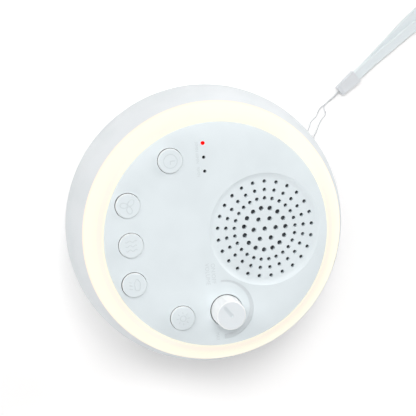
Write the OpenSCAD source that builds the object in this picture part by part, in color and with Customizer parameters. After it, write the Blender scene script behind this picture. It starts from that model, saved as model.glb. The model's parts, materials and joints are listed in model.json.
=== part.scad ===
// A round white noise machine: a bun-shaped case with a light band round its
// face, a dished speaker grille, five push buttons, a volume knob with its
// switch, three timer lamps and a wrist strap.
// +Z is the outward normal of the face, +Y is up on the face, and the origin
// is on the table under the middle of the case.

/* [Case] */
// Widest diameter of the case
body_d = 100; // [97:1:124]
// Height of the face above the table
body_h = 47; // [45:0.5:58]
// Width of the margin of the face that rolls down to the light band
roll_w = 8; // [6:0.5:10]
// How far the face falls over that margin
roll_drop = 0.8; // [0.4:0.1:1]
// How far the light band's outer edge stands in from the widest diameter
band_inset = 3.4; // [2.8:0.1:4.2]
// Width of the light band, seen from above
band_w = 6.5; // [5.6:0.1:7]
// How far the light band falls from the face to its outer edge
band_drop = 7.7; // [7:0.1:9]
// Wall of the front and rear housings
wall = 2; // [1.6:0.1:2.4]
// Height of the seam between the housings
seam_z = 13; // [12.5:0.1:14]
// Height of the tongue that laps the seam
tongue_h = 2.5; // [1.5:0.1:3]
// Height of the rubber feet below the base
foot_h = 1.2; // [0.8:0.1:2]
// Diameter of a rubber foot
foot_d = 9; // [6:0.5:11]
// Distance of the feet from the middle of the base
foot_ring = 25.5; // [22:0.5:27]

/* [Face plate] */
// Thickness of the face plate
plate_t = 2; // [1.6:0.1:2.4]
// Rounding of the face plate's edge
plate_edge = 0.3; // [0.1:0.05:0.6]
// Diameter of the dish round the grille, at its rim
dish_d = 40.4; // [40:0.2:42]
// Depth of the dish
dish_depth = 0.9; // [0.6:0.1:1.2]
// Width of the dish's hollow slope
dish_slope_w = 2.3; // [1.8:0.1:2.4]
// Flat left between the dish and the edge of the face
dish_gap = 2.5; // [1.5:0.1:4]
// Thickness of the perforated floor of the dish
dish_floor_t = 1.5; // [1.2:0.1:2]

/* [Grille] */
// Radius of the first ring of holes
first_ring_r = 4; // [3.5:0.1:4.2]
// Step between the two rings of large holes and to the first small ring
large_step = 3.5; // [3.2:0.1:3.5]
// Step between the rings of small holes
small_step = 3; // [2.4:0.1:3]
// Diameter of the large holes
large_hole_d = 1.7; // [1:0.1:1.8]
// Diameter of the small holes
small_hole_d = 1.35; // [0.8:0.05:1.5]

/* [Buttons] */
// Diameter of a button
button_d = 8.6; // [7:0.1:9.2]
// Gap between a button and its hole
button_gap = 0.2; // [0.15:0.05:0.4]
// How far a button stands above the face
button_rise = 1.1; // [0.8:0.1:1.6]
// Rounding of a button's top edge
button_edge = 0.35; // [0.2:0.05:0.7]
// How far a button goes in
button_travel = 0.3; // [0.2:0.05:0.4]
// Distance between the three buttons of the bottom row
row_pitch = 14.1; // [12:0.1:15]
// Distance from the bottom row to the edge of the face
row_margin = 9.35; // [9:0.05:11]
// Distance from a side button to the edge of the face
side_margin = 11.95; // [10:0.05:14]
// How far the side buttons lie below the middle of the face
side_drop = 14.65; // [13:0.05:17]

/* [Volume knob] */
// Diameter of the knob at its foot
knob_foot_d = 11.2; // [10:0.1:11.6]
// Diameter of the knob at its top
knob_top_d = 10.4; // [8.6:0.1:11]
// How far the knob stands above the face
knob_rise = 8.2; // [6:0.1:11]
// Rounding of the knob's top edge
knob_edge = 0.5; // [0.3:0.1:1]
// Width of the pointer groove in the knob's top
groove_w = 1.3; // [0.6:0.1:1.6]
// Gap between the knob and its well
knob_gap = 0.25; // [0.15:0.05:0.4]
// Distance from the knob's axis to the edge of the face
knob_margin = 12.7; // [12:0.05:14]
// How far the knob lies above the middle of the face
knob_y = 1.25; // [0:0.05:2]
// Direction of the pointer when switched off, anticlockwise from +X
pointer_off = 214.5; // [200:0.5:225]
// Diameter of the knob's shaft
shaft_d = 6; // [5:0.1:6.4]
// Running clearance round the shaft, each side
shaft_gap = 0.06; // [0.02:0.01:0.1]

/* [Timer lamps] */
// Diameter of a lamp's hole in the face
lamp_hole_d = 1.1; // [0.9:0.1:1.4]
// Distance between the lamps
lamp_pitch = 4.95; // [4:0.05:6]
// Distance from the first lamp to the edge of the face
lamp_margin = 7.1; // [6.5:0.1:8]
// How far the lamps lie below the middle of the face
lamp_drop = 2.65; // [1:0.05:4]

/* [Light band] */
// Thickness of the light band's diffuser
diffuser_t = 1.8; // [1.4:0.1:2]
// Number of lamps under the light band
band_lamps = 16; // [8:1:24]
// Depth of the light channel below the face plate
channel_depth = 10; // [9:0.5:11]
// Wall between the light channel and the inside of the case
tube_t = 1.2; // [1:0.1:1.6]

/* [Speaker] */
// Diameter of the speaker's flange
speaker_d = 40; // [39:0.5:40]
// Diameter of the speaker's magnet
magnet_d = 26; // [22:0.5:30]
// Height of the speaker's magnet
magnet_h = 4; // [3:0.5:5]
// Thickness of the foam ring between the speaker and the grille
gasket_t = 1; // [0.8:0.1:1.4]

/* [Boards and battery] */
// Thickness of the main board
board_t = 1.6; // [1.2:0.2:1.6]
// Depth of the main board's top below the face plate
board_drop = 8; // [7.8:0.1:8.2]
// Height of a push switch's case
switch_h = 3.6; // [3.2:0.1:3.8]
// Diameter of the battery cell
cell_d = 18.4; // [14:0.1:18.6]
// Length of the battery cell
cell_l = 65.2; // [50:0.1:66]
// Width, height and depth of the charging socket
usb_size = [7.3, 8.94, 3.26];
// Height of the charging board's underside above the table
charge_z = 15.6; // [15.6:0.1:17]

/* [Screws] */
// Core diameter of the case screws
case_screw_d = 2.2; // [1.8:0.1:2.6]
// Core diameter of the small screws
small_screw_d = 1.7; // [1.4:0.1:2]
// Clearance of a screw in a hole that it passes through, each side
screw_gap = 0.2; // [0.1:0.05:0.3]
// Direction of the first of the case screws from the middle
case_screw_a = 30; // [26:1:34]

/* [Wrist strap] */
// Direction of the strap's eyelet from the middle of the case
eyelet_a = 114; // [100:1:130]
// Height of the eyelet above the table
eyelet_z = 9; // [8.5:0.1:9.5]
// Radius of the eyelet's curved channel
eyelet_r = 2.6; // [2.4:0.1:3]
// Diameter of the eyelet's channel
eyelet_d = 2.4; // [1.6:0.1:2.6]
// Diameter of the thin cord
cord_d = 0.5; // [0.4:0.05:0.5]
// Width of the strap's webbing
web_w = 3.6; // [3:0.1:5]
// Thickness of the strap's webbing
web_t = 0.9; // [0.6:0.1:1]

/* [Fits] */
// Clearance between pieces that nest in each other
fit = 0.1; // [0.05:0.05:0.15]
// Clearance between a screw's core and its pilot hole, each side
pilot_gap = 0.02; // [0.01:0.01:0.05]

/* [Hidden] */
$fn = 96;
far = 200;
eps = 0.01;

// Outline of the case, as arcs that run into each other
body_r = body_d / 2;
band_r = body_r - band_inset;
face_r = band_r - band_w;
face_z = body_h;
band_z = face_z - band_drop;
rim_z = face_z - roll_drop;
equator_z = foot_h + (face_z - foot_h) / 2;
side_rise = band_z - equator_z;
side_r = (side_rise ^ 2 + band_inset ^ 2) / (2 * band_inset);
side_a = asin(side_rise / side_r);
side_x = body_r - side_r;
band_arc = norm([band_w, rim_z - band_z]) / (2 * sin(atan2(band_w, rim_z - band_z) - side_a));
band_x = band_r - band_arc * cos(side_a);
band_y = band_z - band_arc * sin(side_a);
base_arc = band_drop / (1 - sin(side_a));
base_x = band_r - base_arc * cos(side_a);
floor_z = foot_h + wall;
tongue_r = wall_r(seam_z, wall + fit);
tongue_t = 1.3;
rim_h = 1.5;

// The arc that the margin of the face rolls down on
roll_x = face_r - roll_w;
roll_arc = (roll_w ^ 2 + roll_drop ^ 2) / (2 * roll_drop);
roll_z = face_z - roll_arc;

// Levels inside the case
plate_z = face_z - plate_t;
dish_z = face_z - dish_depth;
dish_under = dish_z - dish_floor_t;
shelf_top = plate_z - channel_depth;
shelf_t = 1.5;
shelf_z = shelf_top - shelf_t;
tube_out = face_r - fit;
tube_in = tube_out - tube_t;
inside_r = tube_in - 0.3;
board_top = plate_z - board_drop;
board_z = board_top - board_t;

// Places on the face
dish_y = face_r - dish_d / 2 - dish_gap;
row_y = row_margin - face_r;
side_x_pos = face_r - side_margin;
button_at = [
    [-side_x_pos, -side_drop], [-row_pitch, row_y], [0, row_y], [row_pitch, row_y],
    [side_x_pos, -side_drop]
];
knob_at = [face_r - knob_margin, knob_y];
lamp_at = [for (i = [0:2]) [lamp_margin - face_r + i * lamp_pitch, -lamp_drop]];
grille_rings = [
    [0, 1, large_hole_d],
    [first_ring_r, 6, large_hole_d],
    [first_ring_r + large_step, 15, large_hole_d],
    [first_ring_r + 2 * large_step, 25, small_hole_d],
    [first_ring_r + 2 * large_step + small_step, 25, small_hole_d],
    [first_ring_r + 2 * large_step + 2 * small_step, 25, small_hole_d]
];

// Buttons and their switches
button_hole_r = button_d / 2 + button_gap;
collar_t = 1;
collar_h = 1.4;
flange_t = 0.8;
flange_r = button_hole_r + 0.85;
flange_top = plate_z - collar_h - 0.2;
switch_w = 6;
plunger_r = 1.75;
plunger_top = board_top + switch_h + 1.2;
plunger_foot = board_top + 1;

// Knob, well and pot
knob_well_r = knob_foot_d / 2 + knob_gap;
well_z = face_z - 1.4;
well_floor_t = 1.6;
knob_z = well_z + 0.2;
knob_top = face_z + knob_rise;
shaft_top = knob_top - 2.6;
bush_r = shaft_d / 2 + 0.5;
pot_size = [9.8, 11, 6];
crescent_depth = 0.2;

// Speaker, from the top down
flange_z = dish_under - gasket_t;
flange_plate_t = 0.9;
flange_under = flange_z - flange_plate_t;
roll_r = 1.2;
roll_t = 0.3;
cone_r = 15.6;
cone_z = flange_under + 0.05;
coil_r = 5.15;
coil_t = 0.35;
basket_foot_z = flange_under - 9.2;
basket_foot_r = 12.6;
top_plate_t = 1.5;
magnet_top = basket_foot_z - top_plate_t;
magnet_z = magnet_top - magnet_h;
back_t = 1.4;
pole_r = 4.9;
spider_r = 13.4;
spider_z = basket_foot_z + 3.4;
retainer_t = 1.5;
retainer_ear = 24.1;
retainer_a = [20, 160, 270];

// Screw places
case_ring = tube_in - 4.4;
case_a = [case_screw_a, 180 - case_screw_a, 180 + case_screw_a, 360 - case_screw_a];
case_pad_h = 2;
case_boss_r = 3;
face_screw_ring = tube_in - 4;
face_screw_a = [20, 160, 225, 315];
ear_z = plate_z - 4.5;
ear_t = 1.5;
board_screw_at = [[-18, -10], [18, -10], [0, -21.5], [-30.5, 6.5]];
board_edge_y = 9;

// Battery and charging board
cell_z = floor_z + 0.6 + cell_d / 2;
saddle_y = 20;
saddle_w = 6;
saddle_x = cell_d / 2 + 6.3;
strap_w = 5;
strap_t = 1;
charge_size = [16.6, 16, 1.2];
charge_x = body_r - 22.5;
charge_post = [charge_x + 3.5, 5.5];
usb_x = body_r - wall + 0.6 - usb_size[0];
usb_z = charge_z + charge_size[2];

// The thin cord runs from the connector through the eyelet and back
eyelet_at = polar(body_r - 3.1, eyelet_a);
cord_out = [
    [-40.2, 61.2, 1.28, 0], [-39.1, 59.75, 1.28, 0], [-38.5, 58.9, 1.2, 0], [-37.45, 58.1, 0.75, 0],
    [-36.45, 57, 0.4, 0], [-35.2, 55.25, 0.3, 0], [-34, 53.65, 0.3, 0], [-33.1, 52.25, 0.3, 0],
    [-31.8, 51.25, 0.3, 0], [-30.25, 50.6, 0.3, 0], [-29.15, 49.5, 0.3, 0], [-28.3, 48.25, 0.3, 0],
    [-26.75, 47.7, 0.3, 0], [-25.6, 47.2, 0.45, 0], [-24.9, 46.1, 2.1, 0], [-24.3, 44.9, 4.8, 0],
    [-23.6, 43.6, 7.4, 0], [-22.6, 42.4, 8.7, 0]
];
cord_through = [for (a = [95, 137, 180, 223, 265])
    concat(eyelet_at + polar(eyelet_r, eyelet_a + a), [eyelet_z, 0])];
cord_back = [
    [-17.1, 45, 8.7, 0], [-18.3, 46.1, 7.2, 0], [-20, 47.2, 4.3, 0], [-21.5, 48.3, 1.6, 0],
    [-22.7, 49.1, 0.4, 0], [-24.9, 50.5, 0.3, 0], [-26.8, 51.25, 0.3, 0], [-28.35, 52.15, 0.3, 0],
    [-29.4, 53.2, 0.3, 0], [-30.3, 54.1, 0.3, 0], [-31.5, 54.1, 0.35, 0], [-32.7, 53.5, 0.7, 0],
    [-34, 53.6, 0.86, 0], [-35.2, 55.2, 0.86, 0], [-36.45, 56.95, 0.98, 0], [-37.45, 58, 1.35, 0],
    [-38.5, 58.9, 1.76, 0], [-39.1, 59.75, 1.82, 0], [-40.2, 61.2, 1.82, 0]
];
cord_route = concat(cord_out, cord_through, cord_back);
// The connector's small end, its heading and its size
connector_at = [-38.8, 59.6, 0.1];
connector_a = 126.5;
connector_l = 8.6;
connector_h = 2.9;
connector_w = [3.6, 4.9];
// Route of the strap's webbing, each point with its roll: 0 flat, 90 on edge
strap_route = [
    [-43, 65.3, 2.1, 0], [-44.4, 67.2, 2.05, 0], [-48.5, 72.15, 1.55, 0], [-54.5, 79.45, 1.55, 0],
    [-60, 86.1, 1.55, 0], [-65.3, 92.6, 1.6, 10], [-69.8, 98.05, 1.8, 40], [-73, 106.9, 1.95, 90],
    [-71.1, 113.9, 1.95, 90], [-66, 119.1, 1.95, 90], [-59, 120.9, 1.95, 90], [-44, 121.2, 1.95, 90],
    [-28, 120.6, 1.95, 90], [-12, 121, 1.95, 90], [-2, 120.9, 1.95, 90], [3.8, 118.5, 1.95, 90],
    [6.2, 112.7, 1.95, 90], [3.8, 106.9, 1.95, 90], [-2, 104.5, 1.95, 90], [-12, 104.2, 1.95, 90],
    [-28, 104.8, 1.95, 90], [-42, 104.9, 1.95, 90], [-52.5, 104.6, 1.95, 90], [-57.7, 103.4, 1.9, 80],
    [-60.8, 100.3, 1.6, 45], [-61.9, 96, 0.9, 12], [-60.5, 91.3, 0.6, 0], [-57.8, 87.3, 0.55, 0],
    [-53.2, 80.5, 0.55, 0], [-48, 72.8, 0.55, 0], [-44.4, 67.3, 0.9, 0], [-43, 65.3, 0.95, 0]
];
// Routes of the leads inside the case
speaker_lead_route = [
    [-12.9, 4.3, 39.9, 0], [-14.8, 2.1, 39.8, 0], [-17.4, 0.8, 38.9, 0], [-18.5, -0.6, 38.1, 0],
    [-18.6, -2.2, 38, 0]
];
battery_lead_route = [
    [3, -33.4, 14, 0], [7, -34.6, 18, 0], [15, -31, 24, 0], [19.4, -24, 29, 0],
    [19.1, -20.8, 31.6, 0], [19, -20.6, 33.3, 0]
];
charge_lead_route = [
    [32, 0, 17.45, 0], [28.5, -0.6, 17.6, 0], [23, -4.5, 22, 0], [16, -11, 28, 0],
    [12.3, -15.7, 31.6, 0], [12, -16.2, 33.3, 0]
];
band_lead_route = [
    [-42.4, 1.5, 36.85, 0], [-40.4, 1.5, 38, 0], [-38, 1.5, 38.4, 0], [-36.4, 1.6, 38, 0],
    [-35.05, 1.6, 37.8, 0]
];
lead_r = 0.6;

// ---------------------------------------------------------------- helpers

// Half of the case's outline, moved inwards by an inset
module case_outline(inset = 0) {
    top_joint = band_z - inset * sin(side_a);
    low_joint = 2 * equator_z - top_joint;
    top = face_z - inset;
    low = foot_h + inset;
    intersection() {
        translate([side_x, equator_z]) circle(side_r - inset);
        translate([0, low_joint]) square([far, top_joint - low_joint]);
    }
    intersection() {
        translate([band_x, band_y]) circle(band_arc - inset);
        translate([band_x, top_joint]) square([far, top - top_joint]);
    }
    translate([0, top_joint]) square([band_x, top - top_joint]);
    intersection() {
        translate([base_x, foot_h + base_arc]) circle(base_arc - inset);
        translate([base_x, low]) square([far, low_joint - low]);
    }
    translate([0, low]) square([base_x, low_joint - low]);
}

// What lies inside the case's outline between two levels
module case_section(inset, z0, z1) intersection() {
    case_outline(inset);
    translate([0, z0]) square([far, z1 - z0]);
}

module case_slice(inset, z0, z1) rotate_extrude() case_section(inset, z0, z1);

// Section of the case's wall between two levels
module wall_section(z0, z1) difference() {
    case_section(0, z0, z1);
    case_section(wall, max(z0 - 1, floor_z), z1 + 1);
}

module ring(r_in, r_out, z0, z1) {
    translate([0, 0, z0]) difference() {
        cylinder(r = r_out, h = z1 - z0);
        translate([0, 0, -1]) cylinder(r = r_in, h = z1 - z0 + 2);
    }
}

module post(at, r, z0, z1) {
    translate([at[0], at[1], z0]) cylinder(r = r, h = z1 - z0);
}

// A box centred on a place in plan, standing on a level
module block(at, size, z0) {
    translate([at[0] - size[0] / 2, at[1] - size[1] / 2, z0]) cube(size);
}

// Half outline of a disc with a rounded top edge
module eased_disc(r, h, edge) {
    square([r - edge, h]);
    square([r, h - edge]);
    translate([r - edge, h - edge]) circle(edge);
}

// A screw that goes up from a level, with its head and cross recess below it
module screw(at, z, core_d, length, head_d, head_h) {
    translate([at[0], at[1], z]) difference() {
        union() {
            cylinder(d = core_d, h = length);
            translate([0, 0, -head_h]) cylinder(d = head_d, h = head_h);
        }
        for (a = [0, 90]) rotate(a)
            translate([-head_d * 0.3, -0.25, -head_h - 1]) cube([head_d * 0.6, 0.5, 1 + head_h / 2]);
    }
}

// Radius of the side wall at a level, moved inwards by an inset
function wall_r(z, inset) = side_x + sqrt((side_r - inset) ^ 2 - (equator_z - z) ^ 2);
function polar(r, a) = [r * cos(a), r * sin(a)];
function unit(v) = v / norm(v);
function place(p) = [p[0], p[1], p[2]];

// The ring of points round one point of a route: half_w across, half_t thick
function ring_points(p, i, half_w, half_t, sides) =
    let (
        ahead = unit(place(p[min(i + 1, len(p) - 1)]) - place(p[max(i - 1, 0)])),
        side = unit(cross([0, 0, 1], ahead)),
        up = cross(ahead, side),
        across = cos(p[i][3]) * side + sin(p[i][3]) * up,
        through = cross(ahead, across)
    )
    [for (k = [0:sides - 1]) let (a = (k + 0.5) * 360 / sides)
        place(p[i]) + half_w * cos(a) * across + half_t * sin(a) * through];

// A cord, lead or webbing along a route
module swept(route, half_w, half_t, sides = 8) {
    n = len(route);
    points = [for (i = [0:n - 1]) each ring_points(route, i, half_w, half_t, sides)];
    walls = [
        for (i = [0:n - 2]) for (k = [0:sides - 1])
            let (a = i * sides + k, b = i * sides + (k + 1) % sides)
            each [[a, b, b + sides], [a, b + sides, a + sides]]
    ];
    start = [for (k = [0:sides - 1]) sides - 1 - k];
    finish = [for (k = [0:sides - 1]) (n - 1) * sides + k];
    polyhedron(points = points, faces = concat([start], walls, [finish]));
}

// ---------------------------------------------------------------- housings

// The web that ties a case screw's boss to the shelf and the wall
module boss_web(a) {
    rotate(a) translate([case_ring, -0.8, shelf_top - 9]) cube([body_r - wall - case_ring, 1.6, 9]);
}

// An ear on the channel wall for a screw into the face plate
module face_ear(a) {
    post(polar(face_screw_ring, a), 2.9, ear_z, ear_z + ear_t);
    rotate(a) translate([face_screw_ring, -2.4, ear_z]) cube([tube_in + 0.5 - face_screw_ring, 4.8, ear_t]);
}

// The wall with the shelf and the channel wall of the light band
module front_shell() rotate_extrude() {
    wall_section(seam_z, band_z);
    intersection() {
        translate([tube_in, shelf_z]) square([far, shelf_t]);
        case_outline(wall / 2);
    }
    translate([tube_in, shelf_z]) square([tube_t, plate_z - shelf_z]);
    translate([tube_in, plate_z - 3]) square([tube_t + 1.3, 1]);
}

module front_housing() color("#F4F6F7") difference() {
    union() {
        front_shell();
        intersection() {
            union() for (a = case_a) boss_web(a);
            case_slice(wall / 2, seam_z, band_z);
        }
        for (a = case_a) post(polar(case_ring, a), case_boss_r, floor_z + case_pad_h, shelf_top);
        for (a = face_screw_a) face_ear(a);
    }
    for (a = case_a)
        post(polar(case_ring, a), case_screw_d / 2 + pilot_gap, floor_z, floor_z + case_pad_h + 12);
    for (a = face_screw_a)
        post(polar(face_screw_ring, a), small_screw_d / 2 + screw_gap, ear_z - 1, ear_z + ear_t + 1);
    // Mouth of the charging socket
    translate([usb_x, 0, usb_z + usb_size[2] / 2]) rotate([0, 90, 0]) linear_extrude(20)
        for (s = [-1, 1]) translate([0, s * (usb_size[1] - usb_size[2]) / 2]) circle(d = usb_size[2] + 4 * fit);
    translate([usb_x, -(usb_size[1] - usb_size[2]) / 2, usb_z - 2 * fit])
        cube([20, usb_size[1] - usb_size[2], usb_size[2] + 4 * fit]);
    // Notch for the light band's lead
    translate([-tube_out - 3, 1.5, shelf_top + 3.2]) rotate([0, 90, 0]) cylinder(r = 1.3, h = 8);
}

// A cradle for one end of the cell, with shoulders for its strap
module saddle(y) {
    translate([-saddle_x, y - saddle_w / 2, floor_z - eps])
        cube([2 * saddle_x, saddle_w, cell_z - floor_z]);
}

// The thick stretch of wall that the strap's eyelet is cut in
module eyelet_block() rotate(eyelet_a - 9) rotate_extrude(angle = 18) intersection() {
    top = min(eyelet_z + eyelet_d / 2 + 1, seam_z - rim_h - 0.2);
    translate([body_r - 9.5, floor_z - 0.5]) square([far, top - floor_z + 0.5]);
    case_outline(wall / 2);
}

// The wall and floor with the tongue that laps the seam
module rear_shell() rotate_extrude() {
    wall_section(foot_h, seam_z);
    intersection() {
        translate([tongue_r - tongue_t, seam_z - rim_h]) square([far, rim_h]);
        case_outline(wall / 2);
    }
    translate([tongue_r - tongue_t, seam_z - rim_h / 2]) square([tongue_t, tongue_h + rim_h / 2]);
}

module rear_housing() color("#EEF1F3") difference() {
    union() {
        rear_shell();
        intersection() {
            union() {
                for (a = case_a) post(polar(case_ring, a), case_boss_r + 0.4, foot_h, floor_z + case_pad_h);
                for (s = [-1, 1]) saddle(s * saddle_y);
                for (s = [-1, 1]) post([charge_post[0], s * charge_post[1]], 2.4, foot_h, charge_z);
            }
            case_slice(wall / 2, foot_h, charge_z);
        }
        eyelet_block();
    }
    // Hollow of the cell
    translate([0, cell_l / 2 + 0.4, cell_z]) rotate([90, 0, 0]) cylinder(d = cell_d + 2 * fit, h = cell_l + 0.8);
    for (x = [-1, 1]) for (y = [-1, 1])
        post([x * (saddle_x - 2.6), y * saddle_y], small_screw_d / 2 + pilot_gap, cell_z - 6, cell_z + 1);
    for (s = [-1, 1])
        post([charge_post[0], s * charge_post[1]], small_screw_d / 2 + pilot_gap, charge_z - 6, charge_z + 1);
    for (a = case_a) {
        post(polar(case_ring, a), case_screw_d / 2 + screw_gap, foot_h, floor_z + case_pad_h + 1);
        post(polar(case_ring, a), case_screw_d / 2 + 1.6, foot_h - 1, floor_z);
    }
    for (a = [45:90:315]) post(polar(foot_ring, a), foot_d / 2 + fit, foot_h - 1, foot_h + wall / 3);
    // The eyelet: a curved channel behind a bar left in the wall
    translate([eyelet_at[0], eyelet_at[1], eyelet_z])
        rotate_extrude() translate([eyelet_r, 0]) circle(d = eyelet_d);
}

module rubber_feet() color("#55585C")
    for (a = [45:90:315]) post(polar(foot_ring, a), foot_d / 2, 0, foot_h + wall / 3);

// ---------------------------------------------------------------- face

// What is cut away for the dish, as half an outline about its axis
module dish_cut() {
    bend = (dish_slope_w ^ 2 + dish_depth ^ 2) / (2 * dish_depth);
    foot = dish_d / 2 - dish_slope_w;
    translate([0, dish_z]) square([foot, dish_depth + 1]);
    intersection() {
        translate([foot, dish_z + bend]) circle(bend);
        translate([foot, dish_z]) square([dish_slope_w + 1, dish_depth + 1]);
    }
}

// Half outline of what lies under the face, lowered by a drop
module under_face(drop) translate([0, -drop]) {
    translate([0, plate_z]) square([roll_x, plate_t]);
    intersection() {
        translate([roll_x, roll_z]) circle(roll_arc);
        translate([roll_x, plate_z]) square([roll_w + 1, plate_t + 1]);
    }
}

// Half outline of the face plate: flat, then rolling down to a rounded rim
module plate_outline() {
    edge_x = face_r - fit - plate_edge;
    edge_z = roll_z + sqrt((roll_arc - plate_edge) ^ 2 - (edge_x - roll_x) ^ 2);
    touch_x = roll_x + (edge_x - roll_x) * roll_arc / (roll_arc - plate_edge);
    intersection() {
        under_face(0);
        translate([0, plate_z]) square([touch_x, plate_t + 1]);
    }
    translate([0, plate_z]) square([face_r - fit, edge_z - plate_z]);
    translate([edge_x, edge_z]) circle(plate_edge);
}

// The volume mark: the upper half of a ring that widens clockwise
module crescent() difference() {
    translate([knob_at[0] - 0.35, knob_at[1] - 0.8, face_z - 1]) difference() {
        cylinder(r = 10.7, h = 2);
        translate([-0.55, -0.2, -1]) cylinder(r = 9.45, h = 4);
        translate([-15, -16.45, -1]) cube([30, 16, 4]);
    }
    rotate_extrude() under_face(crescent_depth);
}

module face_plate() color("#E4EAED") difference() {
    union() {
        rotate_extrude() plate_outline();
        intersection() {
            translate([0, 0, plate_z - far]) cylinder(r = inside_r, h = far + eps);
            union() {
                post([0, dish_y], dish_d / 2 - 1, dish_under, plate_z + eps);
                translate([0, dish_y, 0])
                    ring(speaker_d / 2 + 0.2, speaker_d / 2 + 1.7, flange_under + 0.2, plate_z + eps);
                for (a = retainer_a)
                    post([0, dish_y] + polar(retainer_ear, a), 2.3, flange_under, plate_z + eps);
                for (at = button_at) post(at, button_hole_r + collar_t, plate_z - collar_h, plate_z + eps);
                post(knob_at, knob_well_r + 1.4, well_z - well_floor_t, plate_z + eps);
                for (at = lamp_at) post(at, 1.7, plate_z - 2.4, plate_z + eps);
                for (a = face_screw_a) post(polar(face_screw_ring, a), 2.4, ear_z + ear_t, plate_z + eps);
                for (at = board_screw_at) post(at, 2.4, board_top, plate_z + eps);
            }
        }
    }
    translate([0, dish_y, 0]) rotate_extrude() dish_cut();
    for (g = grille_rings) for (k = [0:g[1] - 1])
        post([0, dish_y] + polar(g[0], 90 + k * 360 / g[1]), g[2] / 2, dish_under - 1, face_z);
    for (at = button_at) post(at, button_hole_r, plate_z - collar_h - 1, face_z + 1);
    post(knob_at, knob_well_r, well_z, face_z + 1);
    post(knob_at, bush_r + 0.4, plate_z - 3, face_z);
    for (at = lamp_at) post(at, lamp_hole_d / 2, plate_z - 4, face_z + 1);
    for (a = face_screw_a)
        post(polar(face_screw_ring, a), small_screw_d / 2 + pilot_gap, ear_z + ear_t - 1, face_z - 1);
    for (a = retainer_a)
        post([0, dish_y] + polar(retainer_ear, a), small_screw_d / 2 + pilot_gap, flange_under - 1, face_z - 1);
    for (at = board_screw_at) post(at, small_screw_d / 2 + pilot_gap, board_top - 1, board_top + 6);
    crescent();
}

module light_ring() color("#FFF9E3") rotate_extrude() {
    difference() {
        intersection() {
            case_outline(0);
            translate([face_r, band_z]) square([far, far]);
        }
        case_outline(diffuser_t);
    }
    // Foot on the ledge of the channel wall
    intersection() {
        translate([face_r, plate_z - 2]) square([1.1, 3]);
        case_outline(diffuser_t / 2);
    }
    // Spigot inside the front housing's rim, and the web that carries it
    translate([band_r - wall - 1.7, band_z - 1.4]) square([1.3, 1.5]);
    intersection() {
        translate([band_r - wall - 1.7, band_z]) square([far, 1.2]);
        case_outline(diffuser_t / 2);
    }
}

module ring_board() color("#F2F2EE") ring(tube_out + 0.3, tube_out + 4.6, shelf_top, shelf_top + 1.2);

module ring_lamps() color("#FFE9A8")
    for (i = [0:band_lamps - 1]) rotate((i + 0.5) * 360 / band_lamps)
        block([tube_out + 2.4, 0], [2.8, 3.5, 1.4], shelf_top + 1.2);

// ---------------------------------------------------------------- buttons

module button_cap(at) color("#EDF1F3") difference() {
    union() {
        translate([at[0], at[1], flange_top - flange_t]) rotate_extrude()
            eased_disc(button_d / 2, face_z + button_rise - flange_top + flange_t, button_edge);
        intersection() {
            post(at, flange_r, flange_top - flange_t, flange_top);
            cylinder(r = inside_r, h = far);
        }
        post(at, 1.6, plunger_top, flange_top);
    }
    translate([at[0], at[1], 0]) ring(2.2, button_d / 2 - 1, flange_top - flange_t - 1, face_z - 0.4);
}

module plunger(at) color("#3A3D42") post(at, plunger_r, plunger_foot, plunger_top);

module switch_cases() color("#2E3136") for (at = button_at) difference() {
    union() {
        block(at, [switch_w, switch_w, switch_h], board_top);
        for (x = [-1, 1]) for (y = [-1, 1]) post(at + 2.25 * [x, y], 0.45, board_top, board_top + switch_h + 0.15);
    }
    post(at, plunger_r + 0.15, plunger_foot - button_travel - 0.1, far);
}

// ---------------------------------------------------------------- volume knob

// The shaft between two levels, with its flat above the foot of the knob
module shaft(z0, z1, gap = 0) difference() {
    translate([0, 0, z0]) cylinder(r = shaft_d / 2 + gap, h = z1 - z0);
    rotate(pointer_off) translate([shaft_d / 2 - 1.5 + gap, -shaft_d, knob_z])
        cube([shaft_d, 2 * shaft_d, far]);
}

module volume_knob() color("#F0F3F5") translate([knob_at[0], knob_at[1], 0]) difference() {
    rotate_extrude() {
        straight = knob_top - knob_edge;
        polygon([[0, knob_z], [knob_foot_d / 2, knob_z], [knob_top_d / 2, straight], [0, straight]]);
        translate([knob_top_d / 2 - knob_edge, straight]) circle(knob_edge);
        translate([0, knob_z]) square([knob_top_d / 2 - knob_edge, knob_top - knob_z]);
    }
    shaft(knob_z - 1, shaft_top + fit, pilot_gap);
    // Pointer groove across the top
    rotate(pointer_off) translate([0, 0, knob_top - 0.35]) {
        tip = knob_top_d / 2 - knob_edge - 0.6 - groove_w / 2;
        translate([0, -groove_w / 2, 0]) cube([tip, groove_w, 1]);
        for (x = [0, tip]) translate([x, 0, 0]) cylinder(d = groove_w, h = 1);
    }
}

module volume_shaft() color("#B9BDC2") translate([knob_at[0], knob_at[1], 0])
    shaft(board_top + 1.5, shaft_top);

module volume_pot() color("#8E9398") difference() {
    union() {
        block(knob_at, pot_size, board_top);
        post(knob_at, bush_r, board_top + pot_size[2], well_z - well_floor_t + 0.8);
        block(knob_at - [0, pot_size[1] / 2 + 1], [7.6, 2, 2.4], board_top);
    }
    post(knob_at, shaft_d / 2 + shaft_gap, board_top + 1.3, far);
}

// ---------------------------------------------------------------- timer lamps

module timer_lens(at) color("#6B6F73") {
    post(at, lamp_hole_d / 2 - 0.04, board_top + 2, face_z - 0.1);
    post(at, 1.5, board_top + 1.4, board_top + 2.1);
}

module timer_lamps() color("#F5D9A0") for (at = lamp_at) block(at, [2, 1.25, 1.1], board_top);

// ---------------------------------------------------------------- speaker

module speaker_place() translate([0, dish_y, 0]) children();

module speaker_gasket() color("#2B2D30") speaker_place()
    intersection() {
        ring(speaker_d / 2 - 1.9, speaker_d / 2, flange_z, dish_under);
        translate([0, -dish_y, 0]) cylinder(r = inside_r, h = far);
    }

module dust_cloth() color("#3C3F43") speaker_place() post([0, 0], speaker_d / 2 - 2.1, dish_under - 0.3, dish_under);

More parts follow.
